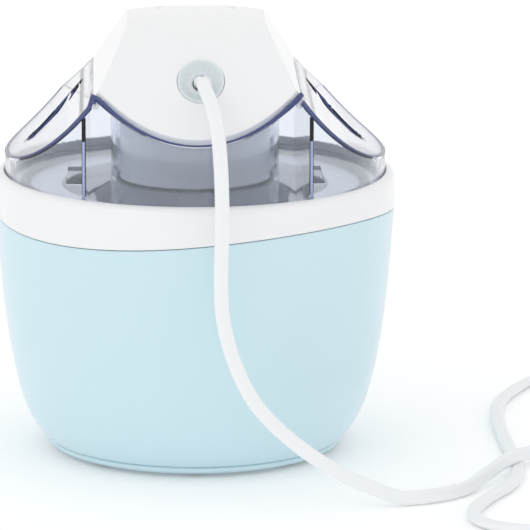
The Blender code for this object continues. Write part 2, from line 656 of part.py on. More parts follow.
def make_head():
    reach = LID_R - LID_WALL - GAP
    low = FRONT_FOOT_Z - 5 * MM
    crown = crown_outline()
    side = side_outline(low)
    head_x = SHOULDER_X - GAP
    across = [(-head_x, low), (-head_x, SHOULDER_Z), *crown[1:-1], (head_x, SHOULDER_Z), (head_x, low)]
    head = rods("motor_housing", [(0, 0)], reach, low, TOP_Z + 5 * MM, ROUND, "white")
    combine(head, prism("head_across", across, -LID_R, LID_R, "XZ"), "INTERSECT")
    combine(head, prism("head_side", side, -LID_R, LID_R, "YZ"), "INTERSECT")

    inner_side = offset(side, HEAD_WALL)
    inner_across = offset(across, HEAD_WALL)
    room = prism("head_room", inner_across, -LID_R, LID_R, "XZ")
    combine(room, prism("head_room_side", inner_side, -LID_R, LID_R, "YZ"), "INTERSECT")
    combine(head, room)
    cut_low, cut_high = low - 1 * MM, HEAD_SKIRT_Z
    inset = HEAD_WALL
    slab = [
        (rear_y(cut_low) + inset * math.hypot(1, 1 / REAR_SLOPE), cut_low),
        (rear_y(cut_high) + inset * math.hypot(1, 1 / REAR_SLOPE), cut_high),
        (front_y(cut_high) - inset * math.hypot(1, 1 / FRONT_SLOPE), cut_high),
        (front_y(cut_low) - inset * math.hypot(1, 1 / FRONT_SLOPE), cut_low),
    ]
    combine(head, prism("head_skirt_cut", slab, -LID_R, LID_R, "YZ"))

    gland_place = Vector((GLAND_X, rear_y(GLAND_Z), GLAND_Z))
    gland_hole = rods("gland_hole", [(0, 0)], GLAND_R + GAP, -12 * MM, 12 * MM, 24)
    combine(head, aimed(gland_hole, gland_place, rear_axis()))
    aimed(
        turned(
            "cord_gland",
            [(3.8 * MM, -GLAND_LENGTH), (3.8 * MM, -2.6 * MM), (7 * MM, -1.8 * MM), (9.6 * MM, 0.2 * MM),
             (10.6 * MM, 0.5 * MM), (GLAND_R, 0), (GLAND_R, -3 * MM), (7 * MM, -GLAND_LENGTH)],
            "white", 24,
        ),
        gland_place, rear_axis(),
    )

    button_place = Vector((0, BUTTON_Y, BUTTON_Z))
    button_hole = rods("button_hole", [(0, 0)], BUTTON_R + 2 * GAP, -12 * MM, 12 * MM, 24)
    combine(head, aimed(button_hole, button_place, button_axis()))
    aimed(
        turned(
            "power_button",
            [(0, 1.6 * MM), (BUTTON_R - 2 * MM, 1.4 * MM), (BUTTON_R, 0), (BUTTON_R, -5 * MM),
             (2.5 * MM, -5 * MM),
             (2.5 * MM, -7 * MM), (0, -7 * MM)],
            "white", 24,
        ),
        button_place, button_axis(),
    )
    switch = rods("power_switch", [(0, 0)], 7 * MM, -16 * MM, -7 * MM - BUTTON_TRAVEL - GAP, 4, "nylon")
    aimed(switch, button_place, button_axis())

    plate_x = SHOULDER_X - HEAD_WALL - 2 * GAP
    plate_top = COVER_Z + COVER_T
    rear_edge = rear_y(COVER_Z) + GLAND_LENGTH + 1.5 * MM
    front_edge = front_y(plate_top) - (HEAD_WALL + GAP) * math.hypot(1, 1 / FRONT_SLOPE)
    cover = block("motor_cover", (-plate_x, rear_edge, COVER_Z), (plate_x, front_edge, plate_top), "white")
    combine(cover, rods("drum", [(0, 0)], DRUM_R, DRUM_SKIRT_Z, COVER_Z + 1 * MM, 48), "UNION")
    room = rods("drum_room", [(0, 0)], DRUM_R - DRUM_WALL, DRUM_FOOT_Z + DRUM_WALL, plate_top + 5 * MM, 48)
    combine(cover, room)
    combine(cover, rods("drum_recess", [(0, 0)], DRUM_R - DRUM_WALL, DRUM_SKIRT_Z - 5 * MM, DRUM_FOOT_Z, 48))
    combine(cover, rods("bush_hole", [(0, 0)], 7 * MM, DRUM_FOOT_Z - 5 * MM, DRUM_FOOT_Z + 5 * MM, 24))
    places = [(-41 * MM, -40 * MM), (41 * MM, -40 * MM), (-41 * MM, 24 * MM), (41 * MM, 24 * MM)]
    combine(cover, rods("cover_screw_holes", places, 1.6 * MM, COVER_Z - 5 * MM, plate_top + 5 * MM, 12))
    for i, place in enumerate(places):
        make_screw(f"cover_screw_{i + 1}", place, COVER_Z - GAP, 7 * MM, upside_down=True)
        post = rods(f"screw_post_{i + 1}", [place], 3.2 * MM, plate_top + GAP, TOP_Z, 12)
        limit = prism(f"post_limit_{i + 1}", [(y, z + 0.5 * MM) for y, z in inner_side], -LID_R, LID_R, "YZ")
        combine(post, limit, "INTERSECT")
        raised = [(x, z + 0.5 * MM) for x, z in inner_across]
        across_limit = prism(f"post_across_{i + 1}", raised, -LID_R, LID_R, "XZ")
        combine(post, across_limit, "INTERSECT")
        combine(head, post, "UNION")
    combine(head, rods("post_holes", places, 1.6 * MM, plate_top - 1 * MM, plate_top + 5.5 * MM, 12))


def make_drive():
    bush_foot = DRUM_FOOT_Z - 1 * MM
    turned(
        "output_bush",
        [(SHAFT_R + GAP, bush_foot), (SHAFT_R + GAP, DRUM_FOOT_Z + 3 * MM),
         (7 * MM - GAP, DRUM_FOOT_Z + 3 * MM),
         (7 * MM - GAP, bush_foot)],
        "brass", 24,
    )
    shaft = rods("output_shaft", [(0, 0)], SHAFT_R, DRUM_FOOT_Z - 2 * MM, PLATE_Z - 8 * MM, 20, "steel")
    drive = rods("square_drive", [(0, 0)], SQUARE_R, HUB_TOP_Z - 12 * MM, DRUM_FOOT_Z - 1.5 * MM, 4)
    combine(shaft, drive, "UNION")

    idler_x = (OUTPUT_TEETH + IDLER_SMALL_TEETH) * TOOTH / 2
    reach = (IDLER_BIG_TEETH + PINION_TEETH) * TOOTH / 2
    idler = (idler_x, 0)
    pinion = (idler_x + reach * math.cos(PINION_SIDE), reach * math.sin(PINION_SIDE))

    wheel = gear_outline(OUTPUT_TEETH, 0)
    output = prism("output_gear", wheel, LOW_GEAR_Z, LOW_GEAR_Z + GEAR_T, "XY", "nylon")
    combine(output, rods("output_gear_bore", [(0, 0)], SHAFT_R + GAP, 0, TOP_Z, 20))

    half_tooth = math.pi / IDLER_SMALL_TEETH
    small = moved(gear_outline(IDLER_SMALL_TEETH, math.pi + half_tooth), idler)
    big_turn = PINION_SIDE
    big = moved(gear_outline(IDLER_BIG_TEETH, big_turn), idler)
    gear = prism("idler_gear", big, HIGH_GEAR_Z, HIGH_GEAR_Z + GEAR_T, "XY", "nylon")
    combine(gear, prism("idler_small", small, LOW_GEAR_Z, HIGH_GEAR_Z + 1 * MM, "XY"), "UNION")
    combine(gear, rods("idler_bore", [idler], AXLE_R + GAP, 0, TOP_Z, 16))
    rods("idler_axle", [idler], AXLE_R, DRUM_FOOT_Z + DRUM_WALL + GAP, PLATE_Z - GAP, 16, "steel")

    pinion_turn = PINION_SIDE + math.pi + math.pi / PINION_TEETH
    teeth = moved(gear_outline(PINION_TEETH, pinion_turn), pinion)
    driver = prism("motor_pinion", teeth, HIGH_GEAR_Z, HIGH_GEAR_Z + GEAR_T, "XY", "brass")
    stub = rods("pinion_shaft", [pinion], 1.5 * MM, HIGH_GEAR_Z + 1 * MM, PLATE_Z + 8 * MM, 12)
    combine(driver, stub, "UNION")

    plate = rods("gear_plate", [(0, 0)], DRUM_R - DRUM_WALL - GAP, PLATE_Z, PLATE_Z + 2 * MM, 48, "steel")
    combine(plate, rods("plate_pinion_hole", [pinion], 4.5 * MM, PLATE_Z - 5 * MM, PLATE_Z + 5 * MM, 16))

    motor_foot = PLATE_Z + 2 * MM + GAP
    motor_top = motor_foot + MOTOR_H
    motor = turned(
        "motor",
        [(1.9 * MM, motor_foot), (1.9 * MM, motor_foot + 10 * MM), (4 * MM, motor_foot + 10 * MM),
         (4 * MM, motor_top),
         (MOTOR_R - 1 * MM, motor_top), (MOTOR_R, motor_top - 1 * MM), (MOTOR_R, motor_foot)],
        "steel", 32,
    )
    motor.location = (*pinion, 0)


# ---------------------------------------------------------------- wiring and mains lead


def make_wiring():
    seat = COVER_Z + COVER_T + GAP
    clamp_low, clamp_high = (GLAND_X - 8 * MM, -63 * MM, seat), (GLAND_X + 8 * MM, -56 * MM, seat + 6 * MM)
    block("cord_clamp", clamp_low, clamp_high, "nylon")
    wiring = block("wiring_block", (-9 * MM, -46 * MM, seat), (9 * MM, -36 * MM, COVER_Z + 12 * MM), "nylon")
    terminals = [(-4.5 * MM, -41 * MM), (4.5 * MM, -41 * MM)]
    combine(wiring, rods("terminal_holes", terminals, 1.6 * MM, COVER_Z + 7 * MM, TOP_Z, 12))


def smooth_route(route, step):
    """Points a step apart along a smooth curve through a route's own points."""
    points = [Vector(p) * MM for p in route]
    line = []
    for i in range(len(points) - 1):
        before, after = points[max(i - 1, 0)], points[min(i + 2, len(points) - 1)]
        a, b = points[i], points[i + 1]
        handle_a, handle_b = a + (b - before) / 6, b - (after - a) / 6
        line += interpolate_bezier(a, handle_a, handle_b, b, 12)[:-1]
    line.append(points[-1])
    kept, run = [line[0]], 0
    for a, b in zip(line, line[1:]):
        run += (b - a).length
        if run >= step:
            kept.append(b)
            run = 0
    kept[-1] = line[-1]
    return kept


def make_tube(name, route):
    line = smooth_route(route, CORD_STEP)
    curve = bpy.data.curves.new(name, "CURVE")
    curve.dimensions = "3D"
    curve.bevel_depth = CORD_R
    curve.bevel_resolution = 2
    curve.use_fill_caps = True
    spline = curve.splines.new("POLY")
    spline.points.add(len(line) - 1)
    for point, place in zip(spline.points, line):
        point.co = (*place, 1)
    made = bpy.data.objects.new(name, curve)
    PARTS.objects.link(made)
    curve.materials.append(material("cord"))
    return made


def make_lead():
    make_tube("power_cord", CORD_ROUTE)
    make_tube("power_cord_tail", TAIL_ROUTE)
    low, high = COIL_FOOT_Z, COIL_TOP_Z
    inner, outer = COIL_R - COIL_HALF_WIDTH, COIL_R + COIL_HALF_WIDTH
    coil = turned(
        "cord_coil",
        [(inner, low + 2 * MM), (inner, high - 2 * MM), (inner + 2 * MM, high), (outer - 2 * MM, high),
         (outer, high - 2 * MM), (outer, low + 2 * MM), (outer - 2 * MM, low), (inner + 2 * MM, low)],
        "cord", 40,
    )
    coil.location = (COIL_X, COIL_Y, 0)
    outer_low = (-COIL_HALF_WIDTH - TIE_GAP - TIE_T, -TIE_WIDTH / 2, low - GAP - TIE_T)
    outer_high = (COIL_HALF_WIDTH + TIE_GAP + TIE_T, TIE_WIDTH / 2, high + GAP + TIE_T)
    tie = block("cord_tie", outer_low, outer_high, "rubber")
    window = block(
        "tie_window",
        (outer_low[0] + TIE_T, -TIE_WIDTH, outer_low[2] + TIE_T),
        (outer_high[0] - TIE_T, TIE_WIDTH, outer_high[2] - TIE_T),
    )
    combine(tie, window)
    for part in (tie, window):
        part.location = (COIL_X - COIL_R, COIL_Y, 0)

    outline = [
        (-6 * MM, 0), (-PLUG_HALF_WIDTH, 14 * MM), (-PLUG_HALF_WIDTH, PLUG_LENGTH - 4 * MM),
        (-PLUG_HALF_WIDTH + 3 * MM, PLUG_LENGTH), (PLUG_HALF_WIDTH - 3 * MM, PLUG_LENGTH),
        (PLUG_HALF_WIDTH, PLUG_LENGTH - 4 * MM), (PLUG_HALF_WIDTH, 14 * MM), (6 * MM, 0),
    ]
    plug = prism("plug_body", moved(outline, (PLUG_X, PLUG_Y)), 0, PLUG_T, "XY", "cord")
    for i, side in enumerate((-1, 1)):
        pin = rods(f"plug_pin_{i + 1}", [(0, 0)], PIN_R, -5 * MM, PIN_LENGTH, 12, "brass")
        hole = rods(f"pin_hole_{i + 1}", [(0, 0)], PIN_R + GAP, -5 * MM - GAP, PIN_LENGTH, 12)
        for part in (pin, hole):
            aimed(part, (PLUG_X + side * PIN_SPACING / 2, PLUG_Y + PLUG_LENGTH, PLUG_T / 2), (0, 1, 0))
        combine(plug, hole)


clear_scene()
PARTS = collection("ice_cream_maker")
CUTTERS = collection("cutters")
make_base()
make_bowl()
make_paddle()
make_hood()
make_tray()
make_head()
make_drive()
make_wiring()
make_lead()
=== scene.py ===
import json
import math

import bmesh
import bpy
from mathutils import Matrix, Vector
from mathutils.geometry import interpolate_bezier


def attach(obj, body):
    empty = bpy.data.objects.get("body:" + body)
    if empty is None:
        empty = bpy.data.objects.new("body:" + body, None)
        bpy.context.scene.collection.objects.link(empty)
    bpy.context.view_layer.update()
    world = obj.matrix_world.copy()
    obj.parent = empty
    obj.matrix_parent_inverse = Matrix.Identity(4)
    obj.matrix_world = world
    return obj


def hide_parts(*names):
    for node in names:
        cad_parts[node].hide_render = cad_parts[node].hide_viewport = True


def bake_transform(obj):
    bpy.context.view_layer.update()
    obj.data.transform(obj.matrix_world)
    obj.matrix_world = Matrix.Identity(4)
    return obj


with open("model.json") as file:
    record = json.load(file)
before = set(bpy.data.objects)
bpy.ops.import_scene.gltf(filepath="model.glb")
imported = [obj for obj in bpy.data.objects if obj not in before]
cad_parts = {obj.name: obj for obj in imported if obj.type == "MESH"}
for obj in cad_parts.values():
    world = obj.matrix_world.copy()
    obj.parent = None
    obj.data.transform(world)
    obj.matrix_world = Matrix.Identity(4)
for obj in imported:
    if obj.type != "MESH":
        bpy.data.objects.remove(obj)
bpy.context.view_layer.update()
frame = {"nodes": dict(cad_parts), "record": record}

MM = 0.001
SIDES = 128  # sides of the round pieces

# ---------------------------------------------------------------- camera

VIEW_YAW = math.radians(1.0)
VIEW_DOWN = math.radians(12.16)
VIEW_DISTANCE, VIEW_HEIGHT = 2.4, 0.627
camera_data = bpy.data.cameras.new("camera")
camera_data.lens = 332.6
camera_data.sensor_width = 36
camera_data.shift_x = 0.132076
camera_data.shift_y = -0.069057
camera_data.clip_end = 50
camera = bpy.data.objects.new("camera", camera_data)
bpy.context.scene.collection.objects.link(camera)
camera.location = (-VIEW_DISTANCE * math.sin(VIEW_YAW), -VIEW_DISTANCE * math.cos(VIEW_YAW), VIEW_HEIGHT)
camera.rotation_euler = (math.pi / 2 - VIEW_DOWN, 0, -VIEW_YAW)
bpy.context.scene.camera = camera

# ---------------------------------------------------------------- sizes in millimetres, as packed

SHELL_FOOT = 6.3
SHELL_FOOT_R, SHELL_WAIST_R, SHELL_WAIST_Z, SHELL_TOP_R = 75.5, 90.0, 38.0, 99.8
SHELL_WALL = 2.5
SEAM_Z, SEAM_WAVE = 121.5, 4.2
RING_R, RING_TOP_Z, RING_SHOULDER = 100.0, 141.0, 4.4
LEDGE_FOOT, LEDGE_Z = 126.5, 129.0
LID_R, LID_WALL = 95.0, 2.5
FLOOR_LOW, FLOOR_TOP = 135.2, 137.4
SLEEVE_R, SLEEVE_TOP, SLEEVE_WALL = 42.0, 184.0, 2.0
CHUTE_X, CHUTE_T = 54.6, 2.0
TOP_Z, SHOULDER_X, SHOULDER_Z, CROWN_X, CROWN_DROP = 224.5, 50.3, 191.0, 34.0, 4.0
REAR_FOOT_Z, REAR_SLOPE, REAR_KNEE_Z = 168.8, 1.61, 197.6
FACET_FOOT_Z, FACET_SLOPE, FACET_CURVE = 150.4, 0.38, 0.0115
FRONT_FOOT_Z, FRONT_SLOPE, FRONT_KNEE_Z, APEX_Y = 150.3, 0.77, 217.3, -10.0
GLAND_X, GLAND_Z, GLAND_R = 1.5, 199.0, 11.4
BUTTON_R, BUTTON_Y, BUTTON_Z = 8.0, 21.0, 207.3
COVER_Z, COVER_T, HEAD_WALL, HEAD_SKIRT_Z = 187.0, 2.0, 2.5, 185.6
DRUM_R, DRUM_WALL, DRUM_FOOT, DRUM_SKIRT = 37.5, 2.0, 146.0, 137.5
GAP = 0.3  # between pieces that touch


# ---------------------------------------------------------------- shapes

def link(name, mesh):
    made = bpy.data.objects.new(name, mesh)
    bpy.context.scene.collection.objects.link(made)
    return made


def from_bmesh(name, bm, smooth=32):
    bmesh.ops.recalc_face_normals(bm, faces=bm.faces)
    mesh = bpy.data.meshes.new(name)
    bm.to_mesh(mesh)
    bm.free()
    made = link(name, mesh)
    shade(made, smooth)
    return made


def shade(piece, degrees=32, weighted=False):
    piece.data.polygons.foreach_set("use_smooth", [True] * len(piece.data.polygons))
    piece.data.set_sharp_from_angle(angle=math.radians(degrees))
    if weighted:
        modifier = piece.modifiers.new("normals", "WEIGHTED_NORMAL")
        modifier.keep_sharp, modifier.weight = True, 100
        settle(piece)


def settle(piece):
    """Applies a piece's modifiers."""
    graph = bpy.context.evaluated_depsgraph_get()
    mesh = bpy.data.meshes.new_from_object(piece.evaluated_get(graph))
    piece.modifiers.clear()
    old, piece.data = piece.data, mesh
    bpy.data.meshes.remove(old)


def soften(outline, radius, closed=True, steps=4):
    """An outline with its corners rounded, except where two neighbours are too near."""
    found, count = [], len(outline)
    for i, (x, y) in enumerate(outline):
        here = Vector((x, y))
        if not closed and i in (0, count - 1):
            found.append((x, y))
            continue
        before, after = Vector(outline[i - 1]), Vector(outline[(i + 1) % count])
        a, b = before - here, after - here
        bend = math.pi - a.angle(b)
        if bend < math.radians(20):
            found.append((x, y))
            continue
        reach = min(radius, 0.45 * a.length, 0.45 * b.length)
        start, end = here + a.normalized() * reach, here + b.normalized() * reach
        controls = (start, start.lerp(here, 0.6), end.lerp(here, 0.6), end)
        curve = interpolate_bezier(*[c.to_3d() for c in controls], steps)
        found += [(p.x, p.y) for p in curve]
    return found


def lathe(name, outline, sides=SIDES, closed=True, lift=None, smooth=32):
    """Turns an outline of (radius, height) in millimetres about Z.

    A closed outline makes a ring, and an open one ends on the axis.
    """
    bm = bmesh.new()
    rows = []
    for r, z in outline:
        if r < 1e-6:
            rows.append([bm.verts.new((0, 0, z * MM))] * sides)
            continue
        row = []
        for i in range(sides):
            angle = 2 * math.pi * i / sides
            rise = lift(angle, r, z) if lift else 0
            row.append(bm.verts.new((r * math.cos(angle) * MM, r * math.sin(angle) * MM, (z + rise) * MM)))
        rows.append(row)
    pairs = list(zip(rows, rows[1:]))
    if closed:
        pairs.append((rows[-1], rows[0]))
    for a, b in pairs:
        for i in range(sides):
            j = (i + 1) % sides
            corners = []
            for v in (a[i], a[j], b[j], b[i]):
                if v not in corners:
                    corners.append(v)
            if len(corners) > 2:
                bm.faces.new(corners)
    return from_bmesh(name, bm, smooth)


AXES = {
    "XY": lambda u, v, w: (u, v, w),
    "XZ": lambda u, v, w: (u, w, v),
    "YZ": lambda u, v, w: (w, u, v),
}


def prism(name, outline, low, high, plane="XY"):
    """An outline in millimetres, extruded along the axis that its plane leaves."""
    place = AXES[plane]
    bm = bmesh.new()
    rings = [[bm.verts.new(Vector(place(u, v, w)) * MM) for u, v in outline] for w in (low, high)]
    bm.faces.new(rings[0])
    bm.faces.new(rings[1])
    count = len(outline)
    for i in range(count):
        j = (i + 1) % count
        bm.faces.new([rings[0][i], rings[0][j], rings[1][j], rings[1][i]])
    return from_bmesh(name, bm)


def circle(radius, sides=SIDES, centre=(0, 0)):
    angles = [2 * math.pi * i / sides for i in range(sides)]
    return [(centre[0] + radius * math.cos(a), centre[1] + radius * math.sin(a)) for a in angles]


def rod(name, radius, low, high, centre=(0, 0), sides=SIDES):
    return prism(name, circle(radius, sides, centre), low, high)


def block(name, low, high):
    outline = [(low[0], low[1]), (high[0], low[1]), (high[0], high[1]), (low[0], high[1])]
    return prism(name, outline, low[2], high[2])


CONVEX_SIDES = 160
CUT_NEAR = 1e-7  # points this near a cutting plane are on it


def convex(name, radius, foot_z, across, side):
    """A cylinder cut by every plane of two convex outlines, one seen from the rear and one from the side."""
    bm = bmesh.new()
    rings = []
    for z in (foot_z, TOP_Z + 5):
        rings.append([bm.verts.new((x * MM, y * MM, z * MM)) for x, y in circle(radius, CONVEX_SIDES)])
        bm.faces.new(rings[-1])
    for i in range(CONVEX_SIDES):
        j = (i + 1) % CONVEX_SIDES
        bm.faces.new([rings[0][i], rings[0][j], rings[1][j], rings[1][i]])
    bmesh.ops.recalc_face_normals(bm, faces=bm.faces)
    for outline, plane in ((across, "XZ"), (side, "YZ")):
        for a, b in zip(outline, outline[1:]):
            start = Vector(AXES[plane](*a, 0)) * MM
            normal = Vector(AXES[plane](a[1] - b[1], b[0] - a[0], 0))
            whole = [*bm.verts, *bm.edges, *bm.faces]
            cut = bmesh.ops.bisect_plane(
                bm, geom=whole, dist=CUT_NEAR, plane_co=start, plane_no=normal, clear_outer=True
            )
            edges = [e for e in cut["geom_cut"] if isinstance(e, bmesh.types.BMEdge) and e.is_boundary]
            if edges:
                bmesh.ops.edgeloop_fill(bm, edges=edges)
    bmesh.ops.remove_doubles(bm, verts=bm.verts, dist=1e-6)
    return from_bmesh(name, bm)


def combine(target, tool, operation="DIFFERENCE"):
    """A Boolean that is applied at once, after which the tool is gone."""
    modifier = target.modifiers.new("cut", "BOOLEAN")
    modifier.operation, modifier.object = operation, tool
    settle(target)
    bpy.data.objects.remove(tool)
    return target


def round_edges(piece, width, segments=3, degrees=30):
    modifier = piece.modifiers.new("round", "BEVEL")
    modifier.width, modifier.segments = width * MM, segments
    modifier.limit_method, modifier.angle_limit = "ANGLE", math.radians(degrees)
    settle(piece)


def curve_points(*controls, count=6):
    """Points of a Bezier curve, without its first."""
    found = interpolate_bezier(*[Vector((*c, 0)) for c in controls], count + 1)
    return [(p.x, p.y) for p in found[1:]]


def offset(outline, inward):
    """An open outline moved to its right-hand side."""
    moved = []
    for i, here in enumerate(outline):
        sides = []
        for a, b in ((i - 1, i), (i, i + 1)):
            if a >= 0 and b < len(outline):
                run = Vector(outline[b]) - Vector(outline[a])
                sides.append(Vector((run.y, -run.x)).normalized())
        middle = sum(sides, Vector((0, 0))).normalized()
        moved.append(tuple(Vector(here) + middle * inward / max(middle.dot(sides[0]), 0.3)))
    return moved


def seam_height(angle):
    """How far the seam under the collar is moved up at this angle round Z."""
    return -SEAM_WAVE * math.sin(2 * angle)


def facet_z(x):
    """Height of the lid's sloped side facets at this distance across."""
    run = LID_R - abs(x)
    return FACET_FOOT_Z + FACET_SLOPE * run + FACET_CURVE * run * run


def rear_y(z):
    return -LID_R + (z - REAR_FOOT_Z) / REAR_SLOPE


def front_y(z):
    return LID_R - (z - FRONT_FOOT_Z) / FRONT_SLOPE


def side_outline(low_z):
    """(y, z) of the head and lid seen from the side: up the rear, over the top and down the front."""
    top = (APEX_Y, TOP_Z)
    rear_knee = (rear_y(REAR_KNEE_Z), REAR_KNEE_Z)
    front_knee = (front_y(FRONT_KNEE_Z), FRONT_KNEE_Z)
    rear_handle = (rear_knee[0] + 7.4, REAR_KNEE_Z + 11.9)
    rear = curve_points(rear_knee, rear_handle, (APEX_Y - 30, TOP_Z), top, count=24)
    reach = 6
    front_handle = (front_knee[0] - reach, FRONT_KNEE_Z + reach * FRONT_SLOPE)
    front = curve_points(top, (APEX_Y + reach, TOP_Z), front_handle, front_knee, count=12)
    return [(rear_y(low_z), low_z), rear_knee, *rear, *front, (front_y(low_z), low_z)]


def facet_outline(first_x, steps=24):
    xs = [first_x + (LID_R + 2 - first_x) * i / steps for i in range(steps + 1)]
    return [(x, facet_z(x)) for x in xs]


def crown_outline(shoulder_x, steps=20):
    """(x, z) of the head seen from the rear: a low arch between its two shoulders."""
    shares = [2 * i / steps - 1 for i in range(steps + 1)]
    crown = [(CROWN_X * share, TOP_Z - CROWN_DROP * share ** 2) for share in shares]
    return [(-shoulder_x, SHOULDER_Z), *crown, (shoulder_x, SHOULDER_Z)]


def aimed(piece, place, direction):
    """Puts a piece that was made upright at a place in millimetres, with its top towards a direction."""
    turn = Vector(direction).to_track_quat("Z", "Y").to_matrix().to_4x4()
    piece.data.transform(Matrix.Translation(Vector(place) * MM) @ turn)
    return piece


# ---------------------------------------------------------------- materials

def build_material(name, colour, roughness, *, shift=0.03, grain=900, bump=0.04, metallic=0, coat=0,
                   transmission=0, ior=1.5, subsurface=0, stretch=(1, 1, 1), spread=0.06):
    """A surface with slow colour drift, uneven roughness and a fine moulded or brushed grain."""
    made = bpy.data.materials.new(name)
    made.use_nodes = True
    tree = made.node_tree
    shader = tree.nodes["Principled BSDF"]
    new, wire = tree.nodes.new, tree.links.new
    place = new("ShaderNodeTexCoord")
    scale = new("ShaderNodeMapping")
    scale.inputs["Scale"].default_value = stretch
    wire(place.outputs["Object"], scale.inputs["Vector"])

    drift = new("ShaderNodeTexNoise")
    drift.inputs["Scale"].default_value = 14
    drift.inputs["Detail"].default_value = 3
    wire(scale.outputs["Vector"], drift.inputs["Vector"])
    blend = new("ShaderNodeMix")
    blend.data_type = "RGBA"
    dark = [c * (1 - shift) for c in colour]
    blend.inputs[6].default_value = (*dark, 1)
    blend.inputs[7].default_value = (*colour, 1)
    wire(drift.outputs["Fac"], blend.inputs[0])
    wire(blend.outputs[2], shader.inputs["Base Color"])

    fine = new("ShaderNodeTexNoise")
    fine.inputs["Scale"].default_value = grain
    fine.inputs["Detail"].default_value = 4
    wire(scale.outputs["Vector"], fine.inputs["Vector"])
    rough = new("ShaderNodeMapRange")
    rough.inputs["To Min"].default_value = max(roughness - spread, 0.01)
    rough.inputs["To Max"].default_value = roughness + spread
    wire(fine.outputs["Fac"], rough.inputs["Value"])
    wire(rough.outputs["Result"], shader.inputs["Roughness"])
    relief = new("ShaderNodeBump")
    relief.inputs["Strength"].default_value = bump
    relief.inputs["Distance"].default_value = 0.0002
    wire(fine.outputs["Fac"], relief.inputs["Height"])
    wire(relief.outputs["Normal"], shader.inputs["Normal"])

    shader.inputs["Metallic"].default_value = metallic
    shader.inputs["Coat Weight"].default_value = coat
    shader.inputs["Coat Roughness"].default_value = 0.08
    shader.inputs["Transmission Weight"].default_value = transmission
    shader.inputs["IOR"].default_value = ior
    shader.inputs["Subsurface Weight"].default_value = subsurface
    shader.inputs["Subsurface Radius"].default_value = (0.004, 0.004, 0.004)
    return made


def let_lamps_through(material, colour):
    """Lamps and the light off matt surfaces pass a clear material without the dark shadow of solid glass."""
    tree = material.node_tree
    through = tree.nodes.new("ShaderNodeBsdfTransparent")
    through.inputs["Color"].default_value = (*colour, 1)
    path, mix = tree.nodes.new("ShaderNodeLightPath"), tree.nodes.new("ShaderNodeMixShader")
    either = tree.nodes.new("ShaderNodeMath")
    either.operation = "MAXIMUM"
    tree.links.new(path.outputs["Is Shadow Ray"], either.inputs[0])
    tree.links.new(path.outputs["Is Diffuse Ray"], either.inputs[1])
    tree.links.new(either.outputs[0], mix.inputs[0])
    tree.links.new(tree.nodes["Principled BSDF"].outputs[0], mix.inputs[1])
    tree.links.new(through.outputs[0], mix.inputs[2])
    tree.links.new(mix.outputs[0], tree.nodes["Material Output"].inputs["Surface"])


AQUA = build_material("aqua_gloss", (0.60, 0.785, 0.85), 0.30, coat=0.3, grain=1500, bump=0.03, shift=0.02)
WHITE = build_material("white_gloss", (0.86, 0.865, 0.875), 0.24,
                       coat=0.3, grain=1500, bump=0.03, shift=0.015)
CLEAR = build_material("clear_blue", (0.915, 0.938, 0.98), 0.03,
                       transmission=1, ior=1.42, grain=60, bump=0.02, spread=0.015, shift=0.02)
let_lamps_through(CLEAR, (0.97, 0.98, 0.998))
# Dark navy for the painted shade along the clear lid's cut edges.
PAINTED_EDGE_SHADE = build_material("painted_edge_shade", (0.035, 0.055, 0.20), 0.16, coat=0.5, grain=400, bump=0.05, shift=0.2)
# Mid blue for the painted highlight line where the clear lid's chute walls meet its outer wall.
PAINTED_CORNER_HIGHLIGHT = build_material("painted_corner_highlight", (0.42, 0.48, 0.78), 0.12, coat=0.4, grain=300, bump=0.05, shift=0.25)
ALUMINIUM = build_material("satin_aluminium", (0.74, 0.75, 0.77), 0.32,
                           metallic=1, grain=260, bump=0.08, stretch=(1, 1, 12))
STEEL = build_material("zinc_steel", (0.60, 0.61, 0.63), 0.34, metallic=1, grain=500, bump=0.1, shift=0.12)
BRASS = build_material("plain_brass", (0.72, 0.58, 0.30), 0.30,
                       metallic=1, grain=600, bump=0.06, shift=0.12)
RUBBER = build_material("grey_rubber", (0.045, 0.045, 0.05), 0.75, grain=1800, bump=0.25, shift=0.2)
NYLON = build_material("natural_nylon", (0.78, 0.77, 0.70), 0.42,
                       grain=900, bump=0.1, subsurface=0.1, shift=0.06)
COOLANT = build_material("coolant_gel", (0.25, 0.46, 0.68), 0.2, grain=80, bump=0.1, shift=0.15)
VINYL = build_material("white_vinyl", (0.86, 0.88, 0.895), 0.38,
                       coat=0.12, grain=1400, bump=0.12, subsurface=0.06, shift=0.02)
# The white gland dish is tinted darker blue-grey: painted shade of its recess.
GLAND_SHADE = build_material("gland_painted_shade", (0.72, 0.78, 0.80), 0.28,
                      coat=0.3, grain=1200, bump=0.06, subsurface=0.1, shift=0.06)


def finish(piece, material, body, slot, *nodes):
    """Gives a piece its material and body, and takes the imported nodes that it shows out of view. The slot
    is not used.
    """
    if not piece.data.materials:
        piece.data.materials.append(material)
    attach(piece, body)
    if nodes:
        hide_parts(*nodes)
    return piece


# ---------------------------------------------------------------- mains lead

